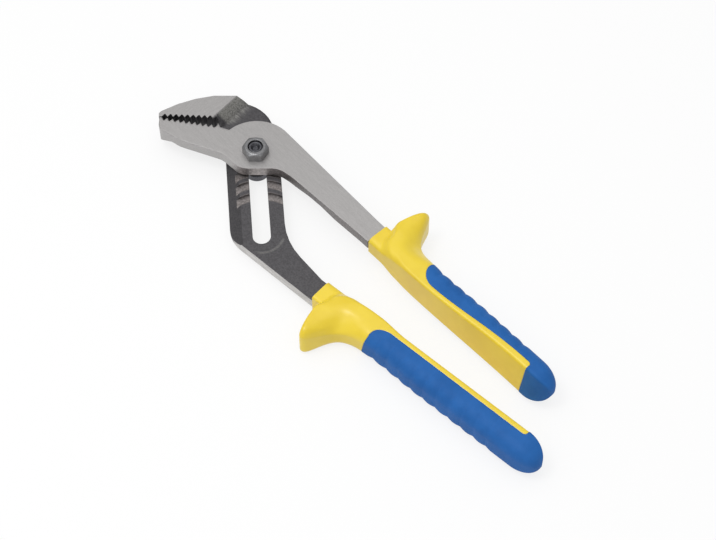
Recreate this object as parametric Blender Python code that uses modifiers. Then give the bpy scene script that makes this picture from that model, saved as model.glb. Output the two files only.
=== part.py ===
"""Water pump pliers: two forged arms on a sliding pivot, with two-part handle grips.

The pivot axis is +Z through the origin. The adjusting slot of the rear arm runs along -Y,
the jaws point to -X and the handles run down to the right. The arms are drawn with their
lap at Z = 0, the front arm above it and the rear arm below, and each jaw reaches through
both layers. At the end everything is raised, so that the pliers lie on the plane Z = 0.
"""

import math

import bmesh
import bpy
from mathutils import Matrix, Vector

MM = 0.001

# Arms
ARM_THICKNESS = 5.25 * MM
LAP_GAP = 0.3 * MM
EDGE_CHAMFER = 0.45 * MM
PART_GAP = 0.3 * MM

# Jaws
JAW_REACH = 43.8 * MM
JAW_TIP_HEIGHT = 24.5 * MM
JAW_TIP_GAP = 0.3 * MM
LOWER_TOOTH_ANGLE = -15.4
UPPER_TOOTH_ANGLE = -7.6
TOOTH_PITCH = 2.66 * MM
TOOTH_DEPTH = 1.55 * MM
LOWER_TOOTH_COUNT = 10
UPPER_TOOTH_COUNT = 10
TOOTH_START = 1.3 * MM
JAW_BACK_RADIUS = 60.0 * MM
JAW_BACK_HEIGHT = 34.7 * MM
JAW_BACK_CREST = -14.5 * MM
CROWN_START = 93.0
NECK_RADIUS = 18.7 * MM
NECK_CENTRE = (-9.6 * MM, 15.2 * MM)
JAW_TIP_BLUNTING = 1.1 * MM
THROAT_RUN = 4.6 * MM
THROAT_DROP = 2.2 * MM
NOSE_LEAN = 0.5 * MM
NOSE_HEIGHT = 6.4 * MM
NOSE_ROUND = 4.2 * MM
CHIN_LENGTH = 9.6 * MM
CHIN_DROP = 8.0 * MM
BELLY_CORNER = (-15.5 * MM, 0.5 * MM)
BELLY_ROUND = 10.0 * MM
JAW_PAD_DEPTH = 4.6 * MM

# Steps between the thick jaws and the thin lap
STEP_ANGLE = 134.5
STEP_DISTANCE = 24.3 * MM
LOWER_STEP_DISTANCE = 21.5 * MM
STEP_RUN = 4.8 * MM

# Pivot
BOSS_RADIUS = 18.0 * MM
BOSS_LOWER_LEFT = (-7.6 * MM, -8.8 * MM)
BOSS_LOWER_RIGHT = (9.4 * MM, -10.2 * MM)
BOSS_LOWER_ROUND = 9.0 * MM
BOLT_DIAMETER = 7.6 * MM
BOLT_CLEARANCE = 0.3 * MM
BOLT_HEAD_DIAMETER = 12.2 * MM
BOLT_HEAD_DOME = 1.4 * MM
BOLT_EDGE = 0.3 * MM
BOLT_END_RECESS = 0.5 * MM
DIMPLE_RADIUS = 2.2 * MM
DIMPLE_DEPTH = 1.4 * MM
THREAD_DIAMETER = 6.4 * MM
NUT_ACROSS_FLATS = 10.7 * MM
NUT_HEIGHT = 4.2 * MM
NUT_CHAMFER = 0.9 * MM
NUT_TURN = -5.0

# Slot and locking grooves
GROOVE_PITCH = 7.0 * MM
GROOVE_STEPS = 6
GROOVE_COUNT = 6
GROOVE_FIRST = 13.9 * MM
GROOVE_RADIUS = 20.0 * MM
GROOVE_WIDTH = 4.1 * MM
GROOVE_DEPTH = 1.3 * MM
SLOT_SPARE = 1.3 * MM

# Slotted leg of the rear arm
LEG_LEFT = 14.2 * MM
LEG_RIGHT = 10.8 * MM
LEG_TOP = 0.8 * MM
LEG_FACE_LEFT = 8.6 * MM
LEG_FLANK_DROP = 4.2 * MM
LEG_FLANK_TOP = 11.0 * MM
LEG_FLANK_BELOW = 5.0 * MM
LEG_OUTER_RADIUS = 16.0 * MM
LEG_INNER_RADIUS = 34.0 * MM

# Handles: direction, where the shank axis passes the pivot or the foot of the slot, and the grip
FRONT_HANDLE_ANGLE = -52.7
FRONT_HANDLE_OFFSET = 10.0 * MM
FRONT_GRIP_START = 71.7 * MM
FRONT_GRIP_LENGTH = 108.0 * MM
FRONT_ROOT_WIDTH = 14.4 * MM
FRONT_ROOT_START = 20.0 * MM
FRONT_ROOT_ROUND = 30.0 * MM
REAR_HANDLE_ANGLE = -46.6
REAR_FOOT_DROP = 8.2 * MM
REAR_GRIP_START = 35.5 * MM
REAR_GRIP_LENGTH = 125.0 * MM
REAR_BEND_DROP = 4.6 * MM
REAR_ELBOW_RISE = 9.8 * MM
SHANK_WIDTH = 10.8 * MM
SHANK_SWELL = 2.7 * MM
SWELL_START = 50.0 * MM
WAIST_DEPTH = 1.4 * MM
WAIST_START = 24.0 * MM
WAIST_RUN = 9.0 * MM
TANG_WIDTH = 6.4 * MM
TANG_SHIFT = 0.6 * MM
TANG_LENGTH = 58.0 * MM
TANG_CLEARANCE = 0.3 * MM

# Grips, in a frame with X along the handle from the collar and Y outwards
GRIP_LIFT = 1.5 * MM
GRIP_INNER = 5.3 * MM
GRIP_OUTER = 7.2 * MM
GRIP_HALF_HEIGHT = 8.7 * MM
GRIP_INNER_ROUND = 2.4 * MM
GRIP_OUTER_ROUND = 6.0 * MM
GRIP_END_ROUND = 11.5 * MM
LEAST_ROUND = 0.5 * MM
COLLAR_LENGTH = 4.2 * MM
COLLAR_WALL = 0.6 * MM
COLLAR_HALF_HEIGHT = 5.5 * MM
COLLAR_ROUND = 1.8 * MM
GRIP_LEAN = 1.1 * MM
LEAN_START = 30.0 * MM
LEAN_END = 65.0 * MM
WING_PEAK = 8.6 * MM
WING_HEIGHT = 16.6 * MM
WING_FALL = 6.0 * MM
WING_TAPER = 2.5
WING_STEP = 2.1 * MM
WING_ROUND = 2.4 * MM
COVER_THICKNESS = 2.0 * MM
COVER_START = 31.5 * MM
COVER_EDGE_START = 3.2 * MM
COVER_EDGE = 3.0 * MM
COVER_CORNER = 8.0 * MM
COVER_CAP_LENGTH = 12.5 * MM
RIB_PITCH = 7.0 * MM
RIB_HEIGHT = 0.6 * MM
RIB_START = 6.0 * MM
RIB_END = 20.0 * MM

ARC_STEP = 9.0
TURN_STEPS = 36
REACH = 0.3
CUT_MARGIN = 6.0 * MM

LAP_TOP = LAP_GAP / 2
FACE = LAP_TOP + ARM_THICKNESS
BOLT_BORE = BOLT_DIAMETER / 2 + BOLT_CLEARANCE
SLIDE_TRAVEL = GROOVE_PITCH * GROOVE_STEPS
DEEP = FACE + CUT_MARGIN
STEP_FLARE = STEP_RUN / (LAP_GAP + ARM_THICKNESS)
BENCH_DROP = GRIP_LIFT + GRIP_HALF_HEIGHT


def clear_scene():
    for item in list(bpy.data.objects):
        bpy.data.objects.remove(item, do_unlink=True)


def new_collection(name):
    group = bpy.data.collections.new(name)
    bpy.context.scene.collection.children.link(group)
    return group


def material(name, colour, roughness, metallic):
    finish = bpy.data.materials.new(name)
    finish.use_nodes = True
    shader = finish.node_tree.nodes["Principled BSDF"]
    shader.inputs["Base Color"].default_value = (*colour, 1.0)
    shader.inputs["Roughness"].default_value = roughness
    shader.inputs["Metallic"].default_value = metallic
    return finish


def direction(angle):
    turn = math.radians(angle)
    return Vector((math.cos(turn), math.sin(turn)))


def arc(centre, radius, start, end):
    """Points of a circular arc, from the start angle to the end angle in degrees."""
    count = max(2, math.ceil(abs(end - start) / ARC_STEP))
    middle = Vector(centre)
    return [middle + radius * direction(start + (end - start) * i / count) for i in range(count + 1)]


def rounded(corners):
    """A closed outline through (point, radius) corners, with each corner rounded to its radius."""
    points = []
    for index, (corner, radius) in enumerate(corners):
        here = Vector(corner)
        to_last = (Vector(corners[index - 1][0]) - here).normalized()
        to_next = (Vector(corners[(index + 1) % len(corners)][0]) - here).normalized()
        half = to_last.angle(to_next) / 2
        if radius <= 0 or half > math.radians(89):
            points.append(here)
            continue
        reach = radius / math.tan(half)
        centre = here + (to_last + to_next).normalized() * (radius / math.sin(half))
        first = here + to_last * reach - centre
        sweep = first.angle_signed(here + to_next * reach - centre)
        count = max(1, math.ceil(math.degrees(abs(sweep)) / ARC_STEP))
        for i in range(count + 1):
            turn = -sweep * i / count
            points.append(centre + Matrix.Rotation(turn, 2) @ first)
    return points


def put(name, mesh, group, cutter=False):
    item = bpy.data.objects.new(name, mesh)
    group.objects.link(item)
    if cutter:
        item.hide_render = True
        item.display_type = "WIRE"
    return item


def extruded(name, points, low, high, group, cutter=False):
    """A flat outline in the XY plane, given a thickness from low to high along Z."""
    curve = bpy.data.curves.new(name, "CURVE")
    curve.dimensions = "2D"
    curve.fill_mode = "BOTH"
    curve.extrude = (high - low) / 2
    spline = curve.splines.new("POLY")
    spline.points.add(len(points) - 1)
    for knot, point in zip(spline.points, points):
        knot.co = (point[0], point[1], 0.0, 1.0)
    spline.use_cyclic_u = True
    drawn = bpy.data.objects.new(name + "_outline", curve)
    group.objects.link(drawn)
    bpy.context.view_layer.update()
    mesh = bpy.data.meshes.new_from_object(drawn.evaluated_get(bpy.context.evaluated_depsgraph_get()))
    bpy.data.objects.remove(drawn, do_unlink=True)
    shape = bmesh.new()
    shape.from_mesh(mesh)
    bmesh.ops.remove_doubles(shape, verts=shape.verts, dist=1e-6)
    bmesh.ops.dissolve_limit(shape, angle_limit=1e-4, verts=shape.verts, edges=shape.edges)
    bmesh.ops.recalc_face_normals(shape, faces=shape.faces)
    bmesh.ops.translate(shape, verts=shape.verts, vec=(0, 0, (low + high) / 2))
    shape.to_mesh(mesh)
    shape.free()
    mesh.name = name
    return put(name, mesh, group, cutter)


def upright_wedge(name, profile, length, group):
    """A profile drawn in a vertical plane, (distance, height), extruded sideways by its length."""
    item = extruded(name, profile, -length / 2, length / 2, group, cutter=True)
    item.data.transform(Matrix.Rotation(math.radians(90), 4, "X"))
    return item


def turned(name, profile, group, cutter=False):
    """A profile of (radius, height) points, top to bottom, turned about Z."""
    mesh = bpy.data.meshes.new(name)
    corners = [(radius, 0.0, height) for radius, height in profile]
    mesh.from_pydata(corners, [(i, i + 1) for i in range(len(corners) - 1)], [])
    item = put(name, mesh, group, cutter)
    screw = item.modifiers.new("turn", "SCREW")
    screw.steps = TURN_STEPS
    screw.render_steps = TURN_STEPS
    screw.use_merge_vertices = True
    screw.merge_threshold = 1e-6
    return item


def loft(name, rings, group, cutter=False):
    """A closed skin through rings of points, each ring having as many points as the others."""
    shape = bmesh.new()
    loops = [[shape.verts.new(point) for point in ring] for ring in rings]
    for near, far in zip(loops, loops[1:]):
        for i in range(len(near)):
            j = (i + 1) % len(near)
            shape.faces.new((near[i], near[j], far[j], far[i]))
    shape.faces.new(list(reversed(loops[0])))
    shape.faces.new(loops[-1])
    bmesh.ops.recalc_face_normals(shape, faces=shape.faces)
    mesh = bpy.data.meshes.new(name)
    shape.to_mesh(mesh)
    shape.free()
    return put(name, mesh, group, cutter)


def combine(item, tool, operation):
    step = item.modifiers.new(tool.name, "BOOLEAN")
    step.operation = operation
    step.solver = "EXACT"
    step.object = tool


def chamfer_edges(item, width):
    bevel = item.modifiers.new("edge_chamfer", "BEVEL")
    bevel.width = width
    bevel.segments = 1
    bevel.limit_method = "ANGLE"
    bevel.angle_limit = math.radians(60)


def shade(item, angle=35):
    item.data.shade_smooth()
    item.data.set_sharp_from_angle(angle=math.radians(angle))


class Handle:
    """The straight axis of one handle, seen from above: along it and square to it."""

    def __init__(self, angle, foot, grip_start, outward):
        self.angle = angle
        self.along = direction(angle)
        self.across = direction(angle + 90)
        self.foot = Vector(foot)
        self.grip_start = grip_start
        self.outward = outward

    def at(self, distance, aside):
        return self.foot + self.along * distance + self.across * aside

    def crossing(self, x, aside):
        """The point with the given X on a line that runs beside the axis."""
        return self.at((x - self.at(0, aside).x) / self.along.x, aside)


FRONT_FOOT = direction(FRONT_HANDLE_ANGLE + 90) * FRONT_HANDLE_OFFSET
REAR_FOOT = (0, -SLIDE_TRAVEL - REAR_FOOT_DROP)
FRONT = Handle(FRONT_HANDLE_ANGLE, FRONT_FOOT, FRONT_GRIP_START, 1)
REAR = Handle(REAR_HANDLE_ANGLE, REAR_FOOT, REAR_GRIP_START, -1)


def tang_corners(handle):
    """The narrow end of an arm, inside its grip, from the left of the shank round to its right."""
    start = handle.grip_start - PART_GAP
    end = handle.grip_start + TANG_LENGTH
    shift = TANG_SHIFT * handle.outward
    half = TANG_WIDTH / 2
    return [
        (handle.at(start - COLLAR_LENGTH, -SHANK_WIDTH / 2), 0),
        (handle.at(start, -SHANK_WIDTH / 2), 0),
        (handle.at(start, shift - half), 0),
        (handle.at(end, shift - half), half * 0.8),
        (handle.at(end, shift + half), half * 0.8),
        (handle.at(start, shift + half), 0),
        (handle.at(start, SHANK_WIDTH / 2), 0),
        (handle.at(start - COLLAR_LENGTH, SHANK_WIDTH / 2), 0),
    ]


def tooth_line(angle, side):
    """The start of a row of teeth at the jaw tip, its direction and the way into the jaw."""
    start = Vector((-JAW_REACH, JAW_TIP_HEIGHT + side * JAW_TIP_GAP / 2))
    along = direction(angle)
    inward = Vector((-along.y, along.x)) * side
    return start, along, inward


def tooth_row_end(angle, side, count):
    start, along, _ = tooth_line(angle, side)
    return start + along * (TOOTH_START + count * TOOTH_PITCH)


def tooth_cutter(name, angle, side, count, group):
    """Trims a jaw at its biting line and cuts the gashes between its teeth."""
    start, along, inward = tooth_line(angle, side)
    points = [start - along * CUT_MARGIN, start + along * TOOTH_START]
    for i in range(count):
        base = start + along * (TOOTH_START + i * TOOTH_PITCH)
        points.append(base + along * (TOOTH_PITCH * 0.42) + inward * TOOTH_DEPTH)
        points.append(base + along * (TOOTH_PITCH * 0.58) + inward * TOOTH_DEPTH)
        points.append(base + along * TOOTH_PITCH)
    last = points[-1]
    points.append(last - inward * CUT_MARGIN)
    points.append(start - along * CUT_MARGIN - inward * CUT_MARGIN)
    return extruded(name, points, -DEEP, DEEP, group, cutter=True)


def front_outline():
    """The front arm from its jaw along the lower edge to the tang and back over the boss."""
    start, _, inward = tooth_line(LOWER_TOOTH_ANGLE, -1)
    throat = tooth_row_end(LOWER_TOOTH_ANGLE, -1, LOWER_TOOTH_COUNT)
    spare = -inward * TOOTH_DEPTH
    nose = start + Vector((-NOSE_LEAN, -NOSE_HEIGHT))
    corners = [
        (throat + spare, 0),
        (start + spare, 0),
        (nose, NOSE_ROUND),
        (nose + Vector((CHIN_LENGTH, -CHIN_DROP)), BELLY_ROUND),
        (BELLY_CORNER, BELLY_ROUND),
        (BOSS_LOWER_LEFT, BOSS_LOWER_ROUND),
        (BOSS_LOWER_RIGHT, BOSS_LOWER_ROUND),
        (FRONT.at(FRONT_ROOT_START, -FRONT_ROOT_WIDTH / 2), FRONT_ROOT_ROUND),
    ]
    corners += tang_corners(FRONT)
    crown_end = math.degrees(math.atan2(throat.y - THROAT_DROP, throat.x + THROAT_RUN))
    crown = arc((0, 0), BOSS_RADIUS, FRONT_HANDLE_ANGLE + 90, crown_end)
    notch = throat + Vector((THROAT_RUN / 4, -THROAT_DROP / 2))
    return rounded(corners) + crown + [notch]


def front_lap_cutter(group):
    """Takes away the rear half of the front arm, but for its jaw and the swelling of its shank."""
    wide = LOWER_STEP_DISTANCE + STEP_FLARE * (LAP_TOP + DEEP)
    step = [(-REACH, LAP_TOP), (LOWER_STEP_DISTANCE, LAP_TOP), (wide, -DEEP), (-REACH, -DEEP)]
    lap = upright_wedge("front_lap", step, 2 * REACH, group)
    lap.rotation_euler.z = math.radians(STEP_ANGLE)
    swell = [
        (SWELL_START, DEEP),
        (SWELL_START, LAP_TOP),
        (FRONT_GRIP_START - COLLAR_LENGTH, LAP_TOP - SHANK_SWELL),
        (REACH, LAP_TOP - SHANK_SWELL),
        (REACH, DEEP),
    ]
    keep = upright_wedge("front_swell", swell, REACH, group)
    keep.rotation_euler.z = math.radians(FRONT_HANDLE_ANGLE)
    combine(lap, keep, "DIFFERENCE")
    return lap


def front_waist_cutter(group):
    """Hollows the rear side of the front shank between the boss and the swelling."""
    under = LAP_TOP - LAP_GAP
    waist = [
        (WAIST_START, under),
        (WAIST_START, LAP_TOP),
        (WAIST_START + WAIST_RUN, LAP_TOP + WAIST_DEPTH),
        (SWELL_START - WAIST_RUN, LAP_TOP + WAIST_DEPTH),
        (SWELL_START, LAP_TOP),
        (SWELL_START, under),
    ]
    hollow = upright_wedge("front_waist", waist, REACH, group)
    hollow.rotation_euler.z = math.radians(FRONT_HANDLE_ANGLE)
    return hollow


def front_belly_cutter(group):
    """Slopes the rear side of the lower jaw, so that only a pad behind its teeth is thick."""
    start, _, inward = tooth_line(LOWER_TOOTH_ANGLE, -1)
    belly = [
        (JAW_PAD_DEPTH + STEP_RUN - STEP_FLARE * (LAP_TOP + DEEP), -DEEP),
        (JAW_PAD_DEPTH + STEP_RUN, LAP_TOP),
        (REACH, LAP_TOP),
        (REACH, -DEEP),
    ]
    under = upright_wedge("front_belly", belly, REACH, group)
    under.rotation_euler.z = math.atan2(inward.y, inward.x)
    under.location = (start.x, start.y, 0)
    return under


def make_front_arm(parts, cutters):
    arm = extruded("front_arm", front_outline(), -FACE, FACE, parts)
    chamfer_edges(arm, EDGE_CHAMFER)
    bore = arc((0, 0), BOLT_BORE, 0, 360 - ARC_STEP)
    combine(arm, extruded("front_bore", bore, -DEEP, DEEP, cutters, cutter=True), "DIFFERENCE")
    teeth = tooth_cutter("lower_teeth", LOWER_TOOTH_ANGLE, -1, LOWER_TOOTH_COUNT, cutters)
    combine(arm, teeth, "DIFFERENCE")
    combine(arm, front_lap_cutter(cutters), "DIFFERENCE")
    combine(arm, front_waist_cutter(cutters), "DIFFERENCE")
    combine(arm, front_belly_cutter(cutters), "DIFFERENCE")
    arm.data.materials.append(material("ground_steel", (0.42, 0.41, 0.40), 0.38, 1.0))
    shade(arm)


def rear_outline():
    """The rear arm from its upper jaw down the slotted leg to the tang and back over the neck."""
    start, _, inward = tooth_line(UPPER_TOOTH_ANGLE, 1)
    spare = -inward * TOOTH_DEPTH
    throat = tooth_row_end(UPPER_TOOTH_ANGLE, 1, UPPER_TOOTH_COUNT)
    corners = [
        (throat + spare, 0),
        ((-LEG_LEFT, throat.y - THROAT_DROP), THROAT_DROP),
        (REAR.crossing(-LEG_LEFT, -REAR_BEND_DROP), LEG_OUTER_RADIUS),
    ]
    corners += tang_corners(REAR)
    corners += [
        (REAR.crossing(LEG_RIGHT, REAR_ELBOW_RISE), LEG_INNER_RADIUS),
        ((LEG_RIGHT, LEG_TOP), 0),
    ]
    neck = arc(NECK_CENTRE, NECK_RADIUS, 0, 90)
    crown_end = math.acos((JAW_TIP_BLUNTING - JAW_REACH - JAW_BACK_CREST) / JAW_BACK_RADIUS)
    crown_centre = (JAW_BACK_CREST, JAW_BACK_HEIGHT - JAW_BACK_RADIUS)
    crown = arc(crown_centre, JAW_BACK_RADIUS, CROWN_START, math.degrees(crown_end))
    tip = Vector((-JAW_REACH, crown[-1].y - JAW_TIP_BLUNTING))
    return rounded(corners) + neck + crown + [tip, start + spare]


def groove_cutter(group):
    """The row of curved locking grooves along the slot."""
    inner = GROOVE_RADIUS - GROOVE_WIDTH / 2
    outer = GROOVE_RADIUS + GROOVE_WIDTH / 2
    span = math.degrees(math.asin((LEG_LEFT + LAP_GAP) / outer))
    floor = -LAP_TOP - GROOVE_DEPTH
    shape = bmesh.new()
    for i in range(GROOVE_COUNT):
        centre = (0, GROOVE_FIRST - GROOVE_RADIUS - i * GROOVE_PITCH)
        ring = arc(centre, outer, 90 - span, 90 + span) + arc(centre, inner, 90 + span, 90 - span)
        one = extruded("groove", ring, floor, floor + CUT_MARGIN, group, cutter=True)
        shape.from_mesh(one.data)
        bpy.data.objects.remove(one, do_unlink=True)
    mesh = bpy.data.meshes.new("grooves")
    shape.to_mesh(mesh)
    shape.free()
    return put("grooves", mesh, group, cutter=True)


def rear_lap_cutter(group):
    """Takes away the front half of the rear arm behind the sloping step of its jaw."""
    wide = STEP_DISTANCE + STEP_FLARE * (LAP_TOP + DEEP)
    step = [(-REACH, -LAP_TOP), (STEP_DISTANCE, -LAP_TOP), (wide, DEEP), (-REACH, DEEP)]
    lap = upright_wedge("rear_lap", step, 2 * REACH, group)
    lap.rotation_euler.z = math.radians(STEP_ANGLE)
    return lap


def leg_flank_cutter(group):
    """Slopes the left flank of the slotted leg, beside the band that carries the grooves."""
    fall = LEG_FLANK_DROP / (LEG_LEFT - LEG_FACE_LEFT)
    flank = [
        (LEG_FACE_LEFT - CUT_MARGIN, -LAP_TOP + fall * CUT_MARGIN),
        (LEG_LEFT + CUT_MARGIN, -LAP_TOP - LEG_FLANK_DROP - fall * CUT_MARGIN),
        (LEG_LEFT + CUT_MARGIN, DEEP),
        (LEG_FACE_LEFT - CUT_MARGIN, DEEP),
    ]
    foot = SLIDE_TRAVEL + LEG_FLANK_BELOW
    side = upright_wedge("leg_flank", flank, LEG_FLANK_TOP + foot, group)
    side.rotation_euler.z = math.radians(180)
    side.location.y = (LEG_FLANK_TOP - foot) / 2
    return side


def make_rear_arm(parts, cutters):
    arm = extruded("rear_arm", rear_outline(), -FACE, FACE, parts)
    chamfer_edges(arm, EDGE_CHAMFER)
    teeth = tooth_cutter("upper_teeth", UPPER_TOOTH_ANGLE, 1, UPPER_TOOTH_COUNT, cutters)
    combine(arm, teeth, "DIFFERENCE")
    combine(arm, rear_lap_cutter(cutters), "DIFFERENCE")
    top = arc((0, SLOT_SPARE / 2), BOLT_BORE, 0, 180)
    bottom = arc((0, -SLIDE_TRAVEL - SLOT_SPARE), BOLT_BORE, 180, 360)
    combine(arm, extruded("slot", top + bottom, -DEEP, DEEP, cutters, cutter=True), "DIFFERENCE")
    combine(arm, groove_cutter(cutters), "DIFFERENCE")
    combine(arm, leg_flank_cutter(cutters), "DIFFERENCE")
    arm.data.materials.append(material("black_steel", (0.055, 0.055, 0.058), 0.5, 0.9))
    shade(arm)


def make_bolt(parts):
    """The pivot bolt: a domed head behind, a plain shank and a thinner thread for the nut."""
    seat = -FACE - PART_GAP
    end = FACE + PART_GAP + NUT_HEIGHT - BOLT_END_RECESS
    radius = BOLT_DIAMETER / 2
    thread = THREAD_DIAMETER / 2
    head = BOLT_HEAD_DIAMETER / 2
    dome = arc((head - BOLT_HEAD_DOME, BOLT_HEAD_DOME - BENCH_DROP), BOLT_HEAD_DOME, 0, -90)
    profile = [
        (0, end - DIMPLE_DEPTH),
        (DIMPLE_RADIUS / 2, end - DIMPLE_DEPTH),
        (DIMPLE_RADIUS, end),
        (thread - BOLT_EDGE, end),
        (thread, end - BOLT_EDGE),
        (thread, FACE),
        (radius, FACE),
        (radius, seat),
        (head - BOLT_EDGE, seat),
        (head, seat - BOLT_EDGE),
    ]
    profile += [(point.x, point.y) for point in dome]
    profile.append((0, -BENCH_DROP))
    bolt = turned("pivot_bolt", profile, parts)
    bolt.data.materials.append(material("bolt_steel", (0.09, 0.09, 0.10), 0.42, 1.0))
    shade(bolt)


def make_nut(parts, cutters):
    """A hexagon with its corners turned off at the top and a bore for the bolt's thread."""
    low = FACE + PART_GAP
    high = low + NUT_HEIGHT
    corner = NUT_ACROSS_FLATS / 2 / math.cos(math.pi / 6)
    hexagon = [direction(60 * i + NUT_TURN) * corner for i in range(6)]
    nut = extruded("pivot_nut", hexagon, low, high, parts)
    profile = [
        (0, high + NUT_CHAMFER),
        (NUT_ACROSS_FLATS / 2 - 2 * NUT_CHAMFER, high + NUT_CHAMFER),
        (corner + NUT_CHAMFER, high - 2 * NUT_CHAMFER),
        (corner + NUT_CHAMFER, low - NUT_CHAMFER),
        (0, low - NUT_CHAMFER),
    ]
    combine(nut, turned("nut_crown", profile, cutters, cutter=True), "INTERSECT")
    bore = arc((0, 0), THREAD_DIAMETER / 2 + BOLT_CLEARANCE, 0, 360 - ARC_STEP)
    combine(nut, extruded("nut_bore", bore, -DEEP, 2 * DEEP, cutters, cutter=True), "DIFFERENCE")
    nut.data.materials.append(material("nut_steel", (0.45, 0.44, 0.42), 0.3, 1.0))
    shade(nut)


def grip_ring(x, inner, outer, half, inner_round, outer_round):
    """One section across a grip: a rectangle with round corners."""
    corners = [
        ((-inner, -half), inner_round),
        ((outer, -half), outer_round),
        ((outer, half), outer_round),
        ((-inner, half), inner_round),
    ]
    ring = []
    for (y, z), radius in corners:
        sign_y = 1 if y > 0 else -1
        sign_z = 1 if z > 0 else -1
        first = math.degrees(math.atan2(sign_z, sign_y)) - 45
        centre = Vector((y - sign_y * radius, z - sign_z * radius))
        for i in range(5):
            point = centre + radius * direction(first + 22.5 * i)
            ring.append((x, point.x, point.y))
    return ring


def wing_rise(x):
    """How far the thumb guard stands out of the handle at a distance from the collar."""
    if x < COLLAR_LENGTH:
        return 0.0
    if x < WING_PEAK:
        ahead = (WING_PEAK - x) / (WING_PEAK - COLLAR_LENGTH)
        return WING_HEIGHT * math.sqrt(1 - ahead * ahead)
    behind = (x - WING_PEAK) / WING_FALL
    return WING_HEIGHT / (1 + behind ** WING_TAPER)


def rib_count(length):
    return math.floor((length - RIB_END - COVER_START - RIB_START) / RIB_PITCH)


def rib_rise(x, length):
    """The scalloped outer edge: rounded ribs with sharp notches between them."""
    place = (x - COVER_START - RIB_START) / RIB_PITCH
    if place < -0.5 or place > rib_count(length) + 0.5:
        return 0.0
    return -RIB_HEIGHT * (1 - abs(math.sin(math.pi * place)))


def grip_stations(length, ribbed):
    """The distances along a grip at which its sections lie."""
    stations = [0.0, COLLAR_LENGTH * 0.9]
    front = WING_PEAK - COLLAR_LENGTH
    stations += [WING_PEAK - front * math.cos(math.radians(a)) for a in range(0, 90, 15)]
    stations += [WING_PEAK + WING_STEP * i for i in range(10)]
    first = COVER_START + RIB_START
    count = rib_count(length)
    quarters = range(-2, 4 * count + 3) if ribbed else (-2, 2 * count, 4 * count + 2)
    stations += [first + RIB_PITCH * i / 4 for i in quarters]
    stations += [length - GRIP_END_ROUND * (1 - math.sin(math.radians(a))) for a in (0, 25, 45, 60, 75, 86)]
    return stations


def grip_skin(name, length, inset, ribbed, group, cutter=False):
    """The outside of a grip, or the same form drawn in by an inset on every side."""
    rings = []
    for x in grip_stations(length, ribbed):
        lean = GRIP_LEAN * min(1.0, max(0.0, (x - LEAN_START) / (LEAN_END - LEAN_START)))
        inner = GRIP_INNER - lean
        outer = GRIP_OUTER + lean
        half = GRIP_HALF_HEIGHT
        outer_round = GRIP_OUTER_ROUND
        if x < COLLAR_LENGTH:
            outer = SHANK_WIDTH / 2 + COLLAR_WALL
            half = COLLAR_HALF_HEIGHT
            outer_round = COLLAR_ROUND
        rise = 0.0 if inset else wing_rise(x)
        outer_round += (WING_ROUND - outer_round) * rise / WING_HEIGHT
        if ribbed:
            rise += rib_rise(x, length)
        end = length - GRIP_END_ROUND
        shrink = 1.0
        if x > end:
            shrink = math.sqrt(max(0.0, 1 - ((x - end) / GRIP_END_ROUND) ** 2))
        middle = (GRIP_OUTER - GRIP_INNER) / 2 + lean
        inner = (inner + middle) * shrink - middle - inset * shrink
        outer = (outer + rise - middle) * shrink + middle - inset * shrink
        half = (half - inset) * shrink
        round_in = max(GRIP_INNER_ROUND - inset, LEAST_ROUND) * shrink
        round_out = max(outer_round - inset, LEAST_ROUND) * shrink
        place = x - inset * max(0.0, x - end) / GRIP_END_ROUND
        rings.append(grip_ring(place, inner, outer, half, round_in, round_out))
    return loft(name, rings, group, cutter)


def cover_field(name, length, margin, group):
    """The part of a grip that its soft cover takes up, seen from above, grown by a margin."""
    front = COVER_START - margin
    near_edge = COVER_EDGE_START - GRIP_INNER - margin
    edge = COVER_EDGE - GRIP_INNER - margin
    cap = length - COVER_CAP_LENGTH - margin
    wide = GRIP_OUTER + WING_HEIGHT
    far = length + CUT_MARGIN
    corners = [
        ((front, wide), 0),
        ((front, near_edge), COVER_CORNER),
        ((cap, edge), COVER_EDGE),
        ((cap, -wide), 0),
        ((far, -wide), 0),
        ((far, wide), 0),
    ]
    tall = 2 * GRIP_HALF_HEIGHT
    return extruded(name, rounded(corners), -tall, tall, group, cutter=True)


def tang_cutter(name, handle, low, high, group):
    """The pocket for an arm's tang, in the frame of the grip."""
    ease = TANG_CLEARANCE
    half = TANG_WIDTH / 2 + ease
    end = TANG_LENGTH + ease
    outline = [
        (-CUT_MARGIN, TANG_SHIFT - half),
        (end, TANG_SHIFT - half),
        (end, TANG_SHIFT + half),
        (-CUT_MARGIN, TANG_SHIFT + half),
    ]
    lift = GRIP_LIFT * handle.outward
    bottom = (low - lift) * handle.outward
    top = (high - lift) * handle.outward
    return extruded(name, outline, min(bottom, top) - ease, max(bottom, top) + ease, group, cutter=True)


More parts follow.
